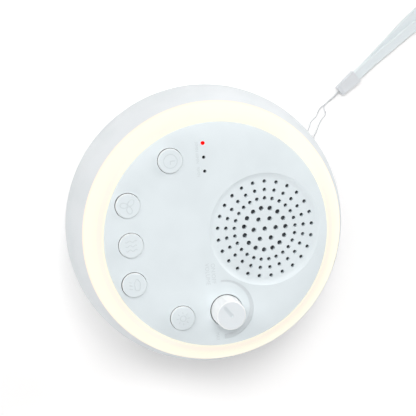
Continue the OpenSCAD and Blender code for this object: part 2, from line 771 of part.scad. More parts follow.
module speaker_frame() color("#3A3E43") speaker_place() difference() {
    union() {
        ring(cone_r + 2 * roll_r + 0.15, speaker_d / 2, flange_under, flange_z);
        // Basket: a cup with a ledge for the spider, and a cone up to the flange
        rotate_extrude() polygon([
            [6.6, basket_foot_z], [basket_foot_r, basket_foot_z], [spider_r - 0.6, spider_z - 1.2],
            [spider_r + 1.4, spider_z - 0.9], [speaker_d / 2 - 1, flange_under + 0.2],
            [speaker_d / 2 - 1.8, flange_under + 0.2], [spider_r + 0.6, spider_z - 0.2],
            [spider_r - 1, spider_z - 0.2], [basket_foot_r - 0.8, basket_foot_z + 0.8],
            [6.6, basket_foot_z + 0.8]
        ]);
        // Tag that the leads are soldered to
        rotate(225) translate([speaker_d / 2 - 3.6, -3, flange_under - 2.2]) cube([2.8, 6, 0.8]);
    }
    for (a = [45:90:315]) rotate(a) translate([0, -5, spider_z + 0.9]) cube([speaker_d, 10, 3]);
}

module top_pole_plate() color("#A9ADB1") speaker_place() ring(coil_r + coil_t + 0.3, magnet_d / 2 - 1, magnet_top, basket_foot_z);

module speaker_magnet() color("#2A2B2D") speaker_place() ring(8, magnet_d / 2, magnet_z, magnet_top);

module back_pole() color("#A9ADB1") speaker_place() {
    post([0, 0], magnet_d / 2 - 1, magnet_z - back_t, magnet_z);
    post([0, 0], pole_r, magnet_z - eps, basket_foot_z);
}

module voice_coil() color("#B87B4B") speaker_place() ring(coil_r, coil_r + coil_t, magnet_top - 2, cone_z - 4.2);

module spider() color("#C9B27A") speaker_place() rotate_extrude() {
    pitch = (spider_r - 1 - coil_r - coil_t - 0.7) / 3;
    for (i = [0:2]) translate([coil_r + coil_t + 0.7 + pitch * (i + 0.5), spider_z]) difference() {
        circle(pitch / 2 + 0.15, $fn = 48);
        circle(pitch / 2 - 0.15, $fn = 48);
        translate([-3, i % 2 == 0 ? -6 : 0]) square([6, 6]);
    }
    translate([coil_r + coil_t, spider_z]) square([0.75, 0.3]);
    translate([spider_r - 1.1, spider_z]) square([1.1, 0.3]);
}

module speaker_cone() color("#26282B") speaker_place() rotate_extrude() {
    neck = coil_r + coil_t;
    polygon([[neck, cone_z - 4.6], [neck + 0.6, cone_z - 4.6], [cone_r, cone_z - 0.3], [cone_r, cone_z]]);
}

module dust_cap() color("#1F2124") speaker_place() rotate_extrude() intersection() {
    difference() {
        translate([0, cone_z - 10]) circle(8.6);
        translate([0, cone_z - 10]) circle(8.3);
    }
    translate([0, cone_z - 4.1]) square([6.3, 6]);
}

module speaker_surround() color("#18191B") speaker_place() rotate_extrude() {
    difference() {
        translate([cone_r + roll_r, cone_z]) circle(roll_r, $fn = 48);
        translate([cone_r + roll_r, cone_z]) circle(roll_r - roll_t, $fn = 48);
        translate([cone_r - 1, cone_z - 4]) square([6, 4]);
    }
}

module speaker_retainer() color("#DDE2E5") difference() {
    intersection() {
        union() {
            speaker_place() ring(speaker_d / 2 - 0.7, speaker_d / 2 + 1.7, flange_under - retainer_t, flange_under);
            for (a = retainer_a)
                retainer_tab([0, dish_y] + polar(retainer_ear, a), a);
        }
        cylinder(r = inside_r, h = far);
    }
    for (a = retainer_a)
        post([0, dish_y] + polar(retainer_ear, a), small_screw_d / 2 + screw_gap, 0, far);
}

// A tab that reaches from the retainer's ring to its screw
module retainer_tab(at, a) {
    post(at, 2.4, flange_under - retainer_t, flange_under);
    translate([at[0], at[1], flange_under - retainer_t]) rotate(a + 180)
        translate([0, -2.4, 0]) cube([retainer_ear - speaker_d / 2, 4.8, retainer_t]);
}

// ---------------------------------------------------------------- boards

module main_board() color("#2F7A4B") difference() {
    intersection() {
        post([0, 0], inside_r, board_z, board_top);
        translate([-far, board_edge_y - far, board_z]) cube([2 * far, far, board_t]);
    }
    post([0, dish_y], speaker_d / 2 + 1, board_z - 1, board_top + 1);
    for (at = board_screw_at) post(at, small_screw_d / 2 + screw_gap, board_z - 1, board_top + 1);
}

// Chips and parts that hang under the main board: place and size in plan, height
module board_chips() color("#1D1F22") for (c = [
    [[-8, -14], [8, 5.5, 1.6]], [[6, -27], [5, 5, 1.2]], [[-10, -24], [6.5, 4, 2]],
    [[24, -6], [5, 3, 1.4]], [[-24, -22], [4, 4, 3]], [[-27, -3], [5, 4.4, 1.2]]
]) block(c[0], c[1], board_z - c[1][2]);

// Sockets that the leads plug in: two under the board and two on top
module board_sockets() color("#F3EFE2") {
    block([19, -20.6], [6, 4, 1.8], board_z - 1.8);
    block([12, -16.2], [5, 4, 1.8], board_z - 1.8);
    block([-18.6, -4.4], [5, 4, 1.9], board_top);
    block([-33.4, 1.6], [3, 4, 1.6], board_top);
}

// ---------------------------------------------------------------- battery

module battery_cell() color("#3E7CC0") translate([0, 0, cell_z]) rotate([90, 0, 0]) {
    translate([0, 0, -cell_l / 2]) cylinder(d = cell_d, h = cell_l - 1);
    translate([0, 0, cell_l / 2 - 1 - eps]) cylinder(d = 6, h = 1 + eps);
}

module battery_straps() color("#E9ECEE") for (s = [-1, 1]) difference() {
    union() {
        intersection() {
            translate([0, s * saddle_y + strap_w / 2, cell_z]) rotate([90, 0, 0])
                cylinder(d = cell_d + 2 * fit + 2 * strap_t, h = strap_w);
            translate([-far / 2, -far / 2, cell_z]) cube(far);
        }
        block([0, s * saddle_y], [2 * saddle_x, strap_w, 1.2], cell_z);
    }
    translate([0, s * saddle_y + saddle_w, cell_z]) rotate([90, 0, 0])
        cylinder(d = cell_d + 2 * fit, h = 2 * saddle_w);
    for (x = [-1, 1]) post([x * (saddle_x - 2.6), s * saddle_y], small_screw_d / 2 + screw_gap, cell_z - 1, far);
}

module charge_board() color("#2F7A4B") difference() {
    translate([charge_x, -charge_size[1] / 2, charge_z]) cube(charge_size);
    for (s = [-1, 1]) post([charge_post[0], s * charge_post[1]], small_screw_d / 2 + screw_gap, 0, far);
}

module usb_socket() color("#C4C7CA") difference() {
    usb_shell(0);
    translate([0.6, 0, 0]) usb_shell(0.3);
}

// The socket's rounded metal shell, moved inwards by an inset
module usb_shell(inset) {
    r = usb_size[2] / 2 - inset;
    translate([usb_x, 0, usb_z + usb_size[2] / 2]) rotate([0, 90, 0]) {
        for (s = [-1, 1]) translate([0, s * (usb_size[1] - usb_size[2]) / 2, 0]) cylinder(r = r, h = usb_size[0]);
        translate([-r, -(usb_size[1] - usb_size[2]) / 2, 0]) cube([2 * r, usb_size[1] - usb_size[2], usb_size[0]]);
    }
}

// ---------------------------------------------------------------- screws

module case_screws() color("#9DA1A5")
    for (a = case_a) screw(polar(case_ring, a), floor_z, case_screw_d, 12, case_screw_d + 2.6, 1.5);

module face_screws() color("#9DA1A5")
    for (a = face_screw_a) screw(polar(face_screw_ring, a), ear_z, small_screw_d, 5, 3.6, 1.2);

module retainer_screws() color("#9DA1A5") for (a = retainer_a)
    screw([0, dish_y] + polar(retainer_ear, a), flange_under - retainer_t, small_screw_d, 4.2, 3.6, 1.2);

module board_screws() color("#9DA1A5")
    for (at = board_screw_at) screw(at, board_z, small_screw_d, 6, 3.6, 1.2);

// A screw that goes down from a level
module screw_down(at, z, length) translate([at[0], at[1], z]) mirror([0, 0, 1]) screw([0, 0], 0, small_screw_d, length, 3.6, 1.2);

module battery_screws() color("#9DA1A5") for (x = [-1, 1]) for (y = [-1, 1])
    screw_down([x * (saddle_x - 2.6), y * saddle_y], cell_z + 1.2, 6);

module charge_screws() color("#9DA1A5")
    for (s = [-1, 1]) screw_down([charge_post[0], s * charge_post[1]], charge_z + charge_size[2], 6);

// ---------------------------------------------------------------- leads and strap

module speaker_lead() color("#C23B32") swept(speaker_lead_route, lead_r, lead_r);

module battery_lead() color("#C23B32") swept(battery_lead_route, lead_r, lead_r);

module charge_lead() color("#3A3D42") swept(charge_lead_route, lead_r, lead_r);

module band_lead() color("#F5F5F5") swept(band_lead_route, lead_r, lead_r);

module lanyard_cord() color("#B9C0C4") swept(cord_route, cord_d / 2, cord_d / 2);

module lanyard_connector() color("#DDE1E3")
    translate(connector_at) rotate(connector_a) difference() {
        intersection() {
            linear_extrude(connector_h) polygon([
                [0, -connector_w[0] / 2], [connector_l, -connector_w[1] / 2],
                [connector_l, connector_w[1] / 2], [0, connector_w[0] / 2]
            ]);
            translate([0, far / 2, 0]) rotate([90, 0, 0]) linear_extrude(far) polygon([
                [0, 0.4], [1.2, 0], [connector_l, 0],
                [connector_l, connector_h], [1.2, connector_h], [0, connector_h - 0.4]
            ]);
        }
        // Mouths for the cord's two strands and for the strap's two legs
        translate([-1, -cord_d / 2 - 0.15, connector_h / 2 - cord_d - 0.12])
            cube([3.6, cord_d + 0.3, 2 * cord_d + 0.24]);
        translate([connector_l - 2, -web_w / 2 - fit, connector_h / 2 - web_t - 0.17])
            cube([3, web_w + 2 * fit, 2 * web_t + 0.4]);
    }

module wrist_strap() color("#E0E8EB") swept(strap_route, web_w / 2, web_t / 2);

// ---------------------------------------------------------------- assembly

front_housing();
rear_housing();
face_plate();
light_ring();
ring_board();
ring_lamps();
button_cap(button_at[0]);  // timer_button
button_cap(button_at[1]);  // left_sound_button
button_cap(button_at[2]);  // middle_sound_button
button_cap(button_at[3]);  // right_sound_button
button_cap(button_at[4]);  // light_button
plunger(button_at[0]);  // timer_plunger
plunger(button_at[1]);  // left_sound_plunger
plunger(button_at[2]);  // middle_sound_plunger
plunger(button_at[3]);  // right_sound_plunger
plunger(button_at[4]);  // light_plunger
switch_cases();
main_board();
board_chips();
board_sockets();
volume_knob();
volume_shaft();
volume_pot();
timer_lens(lamp_at[0]);  // timer_lens_1
timer_lens(lamp_at[1]);  // timer_lens_2
timer_lens(lamp_at[2]);  // timer_lens_3
timer_lamps();
dust_cloth();
speaker_gasket();
speaker_frame();
speaker_surround();
speaker_cone();
dust_cap();
voice_coil();
spider();
top_pole_plate();
speaker_magnet();
back_pole();
speaker_retainer();
retainer_screws();
face_screws();
board_screws();
case_screws();
battery_cell();
battery_straps();
battery_screws();
charge_board();
charge_screws();
usb_socket();
speaker_lead();
battery_lead();
charge_lead();
band_lead();
rubber_feet();
lanyard_cord();
lanyard_connector();
wrist_strap();
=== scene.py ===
"""White noise machine on its back: camera, cords, markings, finishes and light.

The scene is in metres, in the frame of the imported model. What is written in
millimetres is marked so, and MM turns it into metres. A function that makes a
shape says in words how its points are worked out.
"""

import json
import math

import bpy
import numpy as np
from mathutils import Matrix, Vector


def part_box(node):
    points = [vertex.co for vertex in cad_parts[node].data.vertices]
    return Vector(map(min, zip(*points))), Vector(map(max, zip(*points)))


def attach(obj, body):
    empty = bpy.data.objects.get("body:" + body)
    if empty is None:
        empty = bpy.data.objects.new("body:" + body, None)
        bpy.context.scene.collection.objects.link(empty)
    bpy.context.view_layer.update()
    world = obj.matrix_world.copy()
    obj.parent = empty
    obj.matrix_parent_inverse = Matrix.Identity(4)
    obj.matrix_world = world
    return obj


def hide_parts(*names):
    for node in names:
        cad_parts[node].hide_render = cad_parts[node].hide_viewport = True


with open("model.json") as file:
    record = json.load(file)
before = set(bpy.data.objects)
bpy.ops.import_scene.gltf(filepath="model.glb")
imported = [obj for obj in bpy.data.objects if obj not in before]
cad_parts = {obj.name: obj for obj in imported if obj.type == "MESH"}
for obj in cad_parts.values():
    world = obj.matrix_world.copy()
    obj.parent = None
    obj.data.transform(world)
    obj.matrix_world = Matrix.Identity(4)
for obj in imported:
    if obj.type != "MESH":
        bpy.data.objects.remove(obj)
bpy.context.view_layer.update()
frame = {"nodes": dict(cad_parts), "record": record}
MM = 0.001


# ---------------------------------------------------------------- sizes

def box_mm(name):
    """The low and the high corner of a node's box, in millimetres."""
    return np.array(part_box(name)) / MM


def middle(name):
    """The middle of a node's box in the plan, in millimetres, to the nearest twentieth."""
    return tuple((np.round(box_mm(name).sum(0)[:2] * 10) / 20).tolist())


def top(name):
    """The height of a node's highest point, in millimetres."""
    return round(float(box_mm(name)[1, 2]), 2)


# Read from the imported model, in millimetres
FACE_Z, KEY_Z, KNOB_Z = top("face_plate"), top("timer_button"), top("volume_knob")
TIMER_AT, LIGHT_AT = middle("timer_button"), middle("light_button")
LEFT_AT, MIDDLE_AT, RIGHT_AT = [middle(which + "_sound_button")
                                for which in ("left", "middle", "right")]
KNOB_AT = middle("volume_knob")
LENSES_AT = [middle("timer_lens_%d" % number) for number in (1, 2, 3)]
BAND_OUT = round(float(box_mm("light_ring")[1, 0]), 2)

# Chosen, in millimetres: the light band's width; the radius to which the face
# is level, and that of the arc in which it rolls down from there; the circles
# between which the crescent beside the knob is painted, each as its middle and
# its radius; the strap's half width, and how far its selvedges are from its
# middle line
BAND_W = 6.5
ROLL_START, ROLL_R = 32.1, 40.4
CRESCENT_OUTER, CRESCENT_INNER = ((27.05, 0.45, 0), 10.72), ((26.5, 0.25, 0), 9.43)
STRAP_HALF, STRAP_EDGE = 1.8, 1.35


# ---------------------------------------------------------------- camera

def make_camera():
    """A long lens high above the machine, leaning over its lower left side."""
    camera = bpy.data.objects.new("camera", bpy.data.cameras.new("camera"))
    bpy.context.scene.collection.objects.link(camera)
    camera.data.sensor_width = 36
    camera.data.lens = 173.34
    camera.data.clip_start, camera.data.clip_end = 0.05, 50
    place = (-0.15147, -0.13433, 0.71806)
    right = (0.07615718, 0.97524677, 0.20759052)
    down = (0.97630267, -0.11523121, 0.18317988)
    ahead = (0.20256649, 0.18872072, -0.96091171)
    turn = Matrix((right, [-v for v in down], [-v for v in ahead])).transposed()
    camera.matrix_world = Matrix.Translation(place) @ turn.to_4x4()
    bpy.context.scene.camera = camera


# ---------------------------------------------------------------- finishes

def tone(code):
    """A colour written as six hexadecimal digits, as linear light with alpha 1."""
    parts = [int(code[i:i + 2], 16) / 255 for i in (0, 2, 4)]
    return [p / 12.92 if p <= 0.04045 else ((p + 0.055) / 1.055) ** 2.4 for p in parts] + [1]


class Value:
    """One output of a shader node; arithmetic on it adds Math nodes."""

    def __init__(self, finish, socket):
        self.finish = finish
        self.socket = socket

    def maths(self, operation, first, second=0.0):
        """A Math node on one or two values or numbers."""
        return self.finish.node("Math", {"operation": operation}, {0: first, 1: second})

    def __add__(self, other):
        return self.maths("ADD", self, other)

    __radd__ = __add__

    def __sub__(self, other):
        return self.maths("SUBTRACT", self, other)

    def __rsub__(self, other):
        return self.maths("SUBTRACT", other, self)

    def __mul__(self, other):
        return self.maths("MULTIPLY", self, other)

    __rmul__ = __mul__

    def __truediv__(self, other):
        return self.maths("DIVIDE", self, other)

    def __rtruediv__(self, other):
        return self.maths("DIVIDE", other, self)

    def __pow__(self, other):
        return self.maths("POWER", self, other)

    def __rpow__(self, other):
        return self.maths("POWER", other, self)

    def above(self, level):
        """1 where the value is over a level, else 0."""
        return self.maths("GREATER_THAN", self, level)

    def wave(self):
        """The sine of the value."""
        return self.maths("SINE", self)

    def eased(self, low, high):
        """A smooth rise from 0 at one level to 1 at another."""
        return self.finish.node(
            "MapRange", {"interpolation_type": "SMOOTHSTEP", "clamp": True},
            {0: self, 1: low, 2: high, 3: 0.0, 4: 1.0})


class Finish:
    """A material being filled: its nodes, and the main shader's sockets."""

    def __init__(self, name, **sockets):
        self.material = bpy.data.materials.new(name)
        self.material.use_nodes = True
        self.tree = self.material.node_tree
        self.shader = self.tree.nodes["Principled BSDF"]
        self.set(**sockets)

    def feed(self, node, sockets):
        """Links or sets a node's sockets, each named by its number or its label."""
        for key, given in sockets.items():
            if isinstance(given, Value):
                self.tree.links.new(given.socket, node.inputs[key])
            else:
                node.inputs[key].default_value = given

    def set(self, **sockets):
        """Gives the main shader's sockets; Base_Color stands for Base Color."""
        self.feed(self.shader, {k.replace("_", " "): v for k, v in sockets.items()})
        return self

    def node(self, kind, settings=None, sockets=None, output=0):
        """A new node of a kind, with its settings, a ramp's stops and its sockets."""
        made = self.tree.nodes.new("ShaderNode" + kind)
        for key, given in (settings or {}).items():
            if key == "stops":
                stops = made.color_ramp.elements
                while len(stops) < len(given):
                    stops.new(1)
                for stop, (place, colour) in zip(stops, given):
                    stop.position = place
                    stop.color = colour
            else:
                setattr(made, key, given)
        self.feed(made, sockets or {})
        return Value(self, made.outputs[output])

    def point(self, centre=(0, 0, 0), stretch=(1, 1, 1)):
        """Object coordinates in millimetres, from a centre, stretched."""
        here = self.node("TexCoord", output=3)
        here = self.node("VectorMath", {"operation": "SUBTRACT"},
                         {0: here, 1: [c * MM for c in centre]})
        return self.node("VectorMath", {"operation": "MULTIPLY"},
                         {0: here, 1: [s / MM for s in stretch]})

    def parts(self, vector):
        """The three numbers of a vector."""
        split = self.node("SeparateXYZ", sockets={0: vector})
        return [Value(self, s) for s in split.socket.node.outputs]

    def noise(self, size, detail=3.0, where=None, distortion=0.0):
        """Soft random values about 0.5, with blotches of a size in millimetres."""
        return self.node("TexNoise", {"noise_dimensions": "3D"}, {
            "Vector": where or self.point(), "Scale": 1 / size, "Detail": detail,
            "Roughness": 0.55, "Distortion": distortion})

    def mix(self, factor, low, high):
        """A colour between two, which is the second where the factor is 1."""
        return self.node("Mix", {"data_type": "RGBA", "clamp_factor": True},
                         {0: factor, 6: low, 7: high}, output=2)

    def bump(self, height, depth):
        """Relief of a depth in metres where height goes from 0 to 1."""
        return self.node("Bump", sockets={"Height": height, "Distance": depth, "Strength": 1.0})

    def distance(self, centre):
        """Distance in millimetres from the upright line through a point."""
        x, y, _ = self.parts(self.point(centre))
        return (x * x + y * y) ** 0.5


def moulded(name, colour, shade, roughness=0.42, grain=0.000012, gloss=0.5, worn=None):
    """Moulded plastic: spark grain, faint flow clouds and a little uneven sheen."""
    finish = Finish(name, Specular_IOR_Level=gloss)
    clouds = finish.noise(16, 2)
    fine = finish.noise(0.32, 2)
    specks = finish.noise(1.7, 3).eased(0.58, 0.7)
    base = finish.mix(clouds.eased(0.35, 0.7), tone(colour), tone(shade))
    base = finish.mix(specks * 0.16, base, tone(shade))
    if worn:
        _, _, z = finish.parts(finish.point())
        scuffs = finish.noise(3.2, 5, distortion=1.2).eased(0.5, 0.68) * (1 - z.eased(*worn))
        base = finish.mix(scuffs * 0.5, base, tone("b9bcbe"))
    return finish.set(
        Base_Color=base,
        Roughness=roughness + (fine - 0.5) * 0.12 + (clouds - 0.5) * 0.1,
        Normal=finish.bump(fine, grain))


def face_white():
    """The face plate: the same plastic, with the mark beside the knob painted grey."""
    finish = moulded("face_white", "e9f1f4", "e5edf0", 0.5, 0.000008)
    old = Value(finish, finish.shader.inputs["Base Color"].links[0].from_socket)
    _, y, z = finish.parts(finish.point())
    (outer, outer_r), (inner, inner_r) = CRESCENT_OUTER, CRESCENT_INNER
    between = (1 - finish.distance(outer).above(outer_r)) * finish.distance(inner).above(inner_r)
    mark = between * y.above(-0.02) * z.above(FACE_Z - 1.1)
    paint = finish.mix(finish.noise(0.5, 2).eased(0.3, 0.7), tone("dae1e4"), tone("dee4e7"))
    return finish.set(Base_Color=finish.mix(mark, old, paint))


def key_white():
    """The keys: satin tops, with sides painted white as a highlight, and painted dark grey inside
    the face as shade in the gap.
    """
    finish = moulded("key_white", "e8f0f3", "e4ecef", 0.46, 0.000006)
    satin = Value(finish, finish.shader.inputs["Base Color"].links[0].from_socket)
    _, _, z = finish.parts(finish.point())
    # painted highlight: the side above the face is near white
    side = finish.mix(finish.noise(0.8, 2), tone("ffffff"), tone("fbfcfc"))
    # painted shade: the side below the face, seen in the gap round the key, is dark grey
    side = finish.mix(z.eased(FACE_Z - 0.2, FACE_Z + 0.1), tone("5f6467"), side)
    return finish.set(Base_Color=finish.mix(z.eased(KEY_Z - 0.2, KEY_Z - 0.06), side, satin))


def knob_white():
    """The knob: a satin top with its groove painted a shade darker as shade, and a side painted
    white as a highlight and dark grey in the well as shade.
    """
    finish = moulded("knob_white", "ecf1f4", "e8edf0", 0.36, 0.000005)
    satin = Value(finish, finish.shader.inputs["Base Color"].links[0].from_socket)
    _, _, z = finish.parts(finish.point())
    # painted shade: the groove and the top's rounded edge, below its top, are a shade darker
    top_with_painted_groove_shade = finish.mix(1 - z.eased(KNOB_Z - 0.3, KNOB_Z - 0.1), satin, tone("e5ebee"))
    # painted highlight: the side above the face is near white
    side = finish.mix(finish.noise(0.8, 2), tone("ffffff"), tone("fbfcfc"))
    # painted shade: the side below the face, in the well, is dark grey
    side = finish.mix(z.eased(FACE_Z - 0.2, FACE_Z + 0.1), tone("44484b"), side)
    beyond = finish.distance((*KNOB_AT, 0)).eased(4.75, 4.9)
    return finish.set(Base_Color=finish.mix(beyond, top_with_painted_groove_shade, side))


def diffuser():
    """The lit band: milky plastic whose glow varies across the band and a little along it."""
    finish = Finish("milky_diffuser", Roughness=0.4, Specular_IOR_Level=0.3)
    across = (finish.distance((0, 0, 0)) - (BAND_OUT - BAND_W)) / BAND_W
    lamps = finish.noise(14, 1)
    stops = [(0.0, "fffae6"), (0.05, "fff7e2"), (0.15, "fff1e3"), (0.34, "fff2e4"),
             (0.44, "fffee6"), (0.62, "ffffe8"), (0.88, "ffffe8"), (0.96, "fff2e0"),
             (1.0, "ffead8")]
    band = finish.node("ValToRGB", {"stops": [(at, tone(code)) for at, code in stops]}, {0: across})
    glow = finish.mix((lamps - 0.35) * 0.3, band, tone("fff9e6"))
    milk = finish.mix(finish.noise(2.5, 3), tone("99978f"), tone("94928a"))
    return finish.set(
        Base_Color=milk, Emission_Color=glow, Emission_Strength=0.74,
        Normal=finish.bump(finish.noise(0.4, 2), 0.000006))


def red_lens():
    """A lit lamp's lens: red resin that shines, a shade deeper in soft random patches."""
    finish = Finish("red_lens", Roughness=0.3, Specular_IOR_Level=0.1, Emission_Strength=1.15)
    depth = finish.noise(0.6, 2) * 0.2
    return finish.set(
        Base_Color=finish.mix(depth, tone("5a0402"), tone("7a0804")),
        Emission_Color=finish.mix(depth, tone("ff0000"), tone("f00604")))


def dark_lens():
    """An unlit lens: dark in the middle, fading to a grey rim that is a painted highlight of its
    far edge.

    The dark middle sits a little to the near side of the lens's middle.
    """
    finish = Finish("dark_lens", Roughness=0.25, Coat_Weight=0.2)
    near = 0.12
    second, third = [finish.distance((x - near, y - near, 0)) for x, y in LENSES_AT[1:]]
    core = second.maths("MINIMUM", second, third) + (finish.noise(0.4, 2) - 0.5) * 0.06
    # painted highlight: the lens goes from dark in the middle to grey towards its rim
    return finish.set(Base_Color=finish.mix(core.eased(0.43, 0.6), tone("1e2123"), tone("a9afb2")))


def metal(name, colour, dark, roughness=0.32, stretch=(1, 1, 9)):
    """Plated or drawn metal: fine lines along one way and a few dull patches."""
    finish = Finish(name, Metallic=1.0)
    lines = finish.noise(0.5, 4, finish.point(stretch=stretch))
    dull = finish.noise(4, 3).eased(0.5, 0.75)
    return finish.set(
        Base_Color=finish.mix(lines.eased(0.35, 0.7), tone(colour), tone(dark)),
        Roughness=roughness + (lines - 0.5) * 0.2 + dull * 0.15,
        Normal=finish.bump(lines, 0.000006))


def board(name, mask, track):
    """A circuit board: solder mask over a grid of tracks, with tinned pads."""
    finish = Finish(name, Coat_Weight=0.3, Coat_Roughness=0.25)
    x, y, _ = finish.parts(finish.point())
    bends = finish.noise(6, 1)
    rows = ((x + bends * 9) * 2.6).wave().eased(0.55, 0.8)
    columns = ((y + bends * 7) * 2.2).wave().eased(0.75, 0.9)
    runs = rows * (1 - columns) + columns * (1 - rows)
    pads = finish.node("TexVoronoi", {"feature": "F1"}, {"Vector": finish.point(), "Scale": 0.42})
    tinned = 1 - pads.eased(0.18, 0.24)
    base = finish.mix(runs * 0.7, tone(mask), tone(track))
    return finish.set(
        Base_Color=finish.mix(tinned * 0.85, base, tone("c9ccc8")),
        Roughness=0.36 - tinned * 0.1,
        Normal=finish.bump(runs + tinned, 0.00003))


def cloth(name, colour, dark, pitch=0.6):
    """Plain woven cloth: two sets of threads crossing at right angles."""
    finish = Finish(name, Roughness=0.92, Sheen_Weight=0.3)
    x, y, _ = finish.parts(finish.point())
    turn = 2 * math.pi / pitch
    warp, weft = [(way * turn).wave() * 0.5 + 0.5 for way in (x, y)]
    weave = warp * weft + (1 - warp) * (1 - weft)
    fuzz = finish.noise(0.25, 3)
    return finish.set(
        Base_Color=finish.mix(weave * 0.7 + fuzz * 0.3, tone(dark), tone(colour)),
        Normal=finish.bump(weave + fuzz * 0.3, 0.00008))


def rubber(name, colour, worn):
    """Soft rubber or foam: fine pits, paler where it has been rubbed."""
    finish = Finish(name, Specular_IOR_Level=0.35)
    pits = finish.noise(0.45, 4)
    rubbed = finish.noise(3, 3).eased(0.45, 0.7)
    paler = rubbed * 0.5 + pits.eased(0.5, 0.7) * 0.3
    return finish.set(
        Base_Color=finish.mix(paler, tone(colour), tone(worn)),
        Roughness=0.78 + (pits - 0.5) * 0.2,
        Normal=finish.bump(pits, 0.00004))


def sleeve(name, colour, light, roughness=0.4):
    """Thin plastic skin, as on wire or round a cell: slight ripples and streaks."""
    finish = Finish(name, Roughness=roughness)
    ripples = finish.noise(1.4, 3, finish.point(stretch=(1, 0.35, 1)))
    dust = finish.noise(0.5, 3).eased(0.55, 0.75)
    streaks = ripples.eased(0.4, 0.75) * 0.6 + dust * 0.15
    return finish.set(
        Base_Color=finish.mix(streaks, tone(colour), tone(light)),
        Normal=finish.bump(ripples, 0.00003))


def thread(name, colour, dark):
    """Twisted nylon: fibres that wind round each ply, from the ply's own UV map.

    The map holds metres along the ply, and the angle round it in turns.
    """
    finish = Finish(name, Roughness=0.62, Sheen_Weight=0.35, Sheen_Roughness=0.4)
    along, around, _ = finish.parts(finish.node("UVMap", {"uv_map": "UVMap"}))
    fibres = ((along * 5200 + around * 2 * math.pi * 3).wave() * 0.5 + 0.5) ** 0.7
    tint = finish.noise(3, 2)
    return finish.set(
        Base_Color=finish.mix(fibres * 0.7 + tint * 0.3, tone(dark), tone(colour)),
        Normal=finish.bump(fibres, 0.00004))


def webbing():
    """Flat woven tape, from its own UV map of metres across and along it.

    Warp cords run along the tape, wefts cross them in a herringbone, and the
    two selvedges are plain, and a little brighter as a painted highlight.
    """
    finish = Finish("woven_tape", Roughness=0.7, Sheen_Weight=0.4, Sheen_Roughness=0.35)
    across, along, _ = finish.parts(finish.node("UVMap", {"uv_map": "UVMap"}))
    warp_pitch, twill_pitch, plain_pitch = 0.38 * MM, 0.7 * MM, 0.45 * MM
    side = across.maths("ABSOLUTE", across)
    warp = (across * (2 * math.pi / warp_pitch)).wave() * 0.5 + 0.5
    twill = ((along + side * 0.9) * (2 * math.pi / twill_pitch)).wave() * 0.5 + 0.5
    edge = side.eased(STRAP_EDGE * MM, 1.6 * MM)
    plain = (along * (2 * math.pi / plain_pitch)).wave() * 0.5 + 0.5
    weave = (warp * 0.45 + twill * 0.55) * (1 - edge) + plain * edge
    fuzz = finish.noise(0.5, 3)
    cloths = finish.mix(weave * 0.75 + fuzz * 0.25, tone("dbe3e6"), tone("f0f6f8"))
    return finish.set(
        # painted highlight: the selvedges are mixed half way to a pale grey
        Base_Color=finish.mix(edge * 0.5, cloths, tone("edf3f4")),
        Normal=finish.bump(weave + fuzz * 0.25, 0.00007))


FINISHES = {
    "shell": lambda: moulded("shell_white", "e5e8ea", "e0e4e6", 0.4, worn=(0, 9)),
    "face": face_white,
    "diffuser": diffuser,
    "keys": key_white,
    "knob": knob_white,
    "lens": dark_lens,
    "lens_lit": red_lens,
    "black": lambda: moulded("black_plastic", "26282b", "1c1e20", 0.5),
    "board": lambda: board("green_board", "1d6a3c", "2c8450"),
    "white_board": lambda: board("white_board", "eceae2", "dcd9cf"),
    "lamp": lambda: sleeve("clear_resin", "f2d78f", "fff0c4", 0.25),
    "ivory": lambda: moulded("ivory_nylon", "ece5d0", "e0d8c0", 0.5),
    "steel": lambda: metal("zinc_plate", "c6c9cc", "a5a9ad"),
    "ferrite": lambda: rubber("ferrite", "2a2b2e", "3d3e42"),
    "copper": lambda: metal("copper_wire", "c87a4a", "9c5630", 0.3, (1, 1, 14)),
    "paper": lambda: rubber("pressed_paper", "1f2022", "34363a"),
    "damper": lambda: cloth("resin_cloth", "c9ad6c", "8f7540", 0.8),
    "foam": lambda: rubber("black_foam", "202123", "34353a"),
    "cloth": lambda: cloth("speaker_cloth", "54585d", "303338", 0.55),
    "cell": lambda: sleeve("cell_sleeve", "2f6fb2", "4a88c8"),
    "feet": lambda: rubber("grey_rubber", "585b60", "74777b"),
    "lead_red": lambda: sleeve("red_wire", "b8241d", "d04a40"),
    "lead_black": lambda: sleeve("black_wire", "26272a", "3f4145"),
    "lead_white": lambda: sleeve("white_wire", "ecece8", "d8d8d2"),
    "cord": lambda: thread("twisted_nylon", "f0f1f2", "cacdd0"),
    "connector": lambda: moulded("connector_grey", "e6e8eb", "dde0e3", 0.38, 0.000006),
    "webbing": webbing,
    "lettering": lambda: moulded("lettering_grey", "dae2e5", "d5dde0", 0.5, 0.000004),
    "icons": lambda: moulded("icon_grey", "dde5e8", "d8e0e3", 0.46, 0.000004),
}
made_finishes = {}


def finish_of(slot):
    """The material of a slot, made the first time that it is asked for."""
    if slot not in made_finishes:
        made_finishes[slot] = FINISHES[slot]().material
    return made_finishes[slot]


def dress_frame():
    """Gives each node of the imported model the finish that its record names."""
    for row in frame["record"]["subparts"]:
        node = frame["nodes"][row["node"]]
        material = finish_of(row["material_slot"])
        if not node.material_slots:
            node.data.materials.append(material)
        for place in node.material_slots:
            place.material = material


# ---------------------------------------------------------------- surfaces

def lapped(rows, around):
    """Quads between neighbouring rings of a grid whose rings are closed, as indices."""
    i, k = np.meshgrid(np.arange(rows - 1), np.arange(around), indexing="ij")
    a, b = i * around + k, i * around + (k + 1) % around
    return np.stack([a, b, b + around, a + around], axis=-1).reshape(-1, 4)


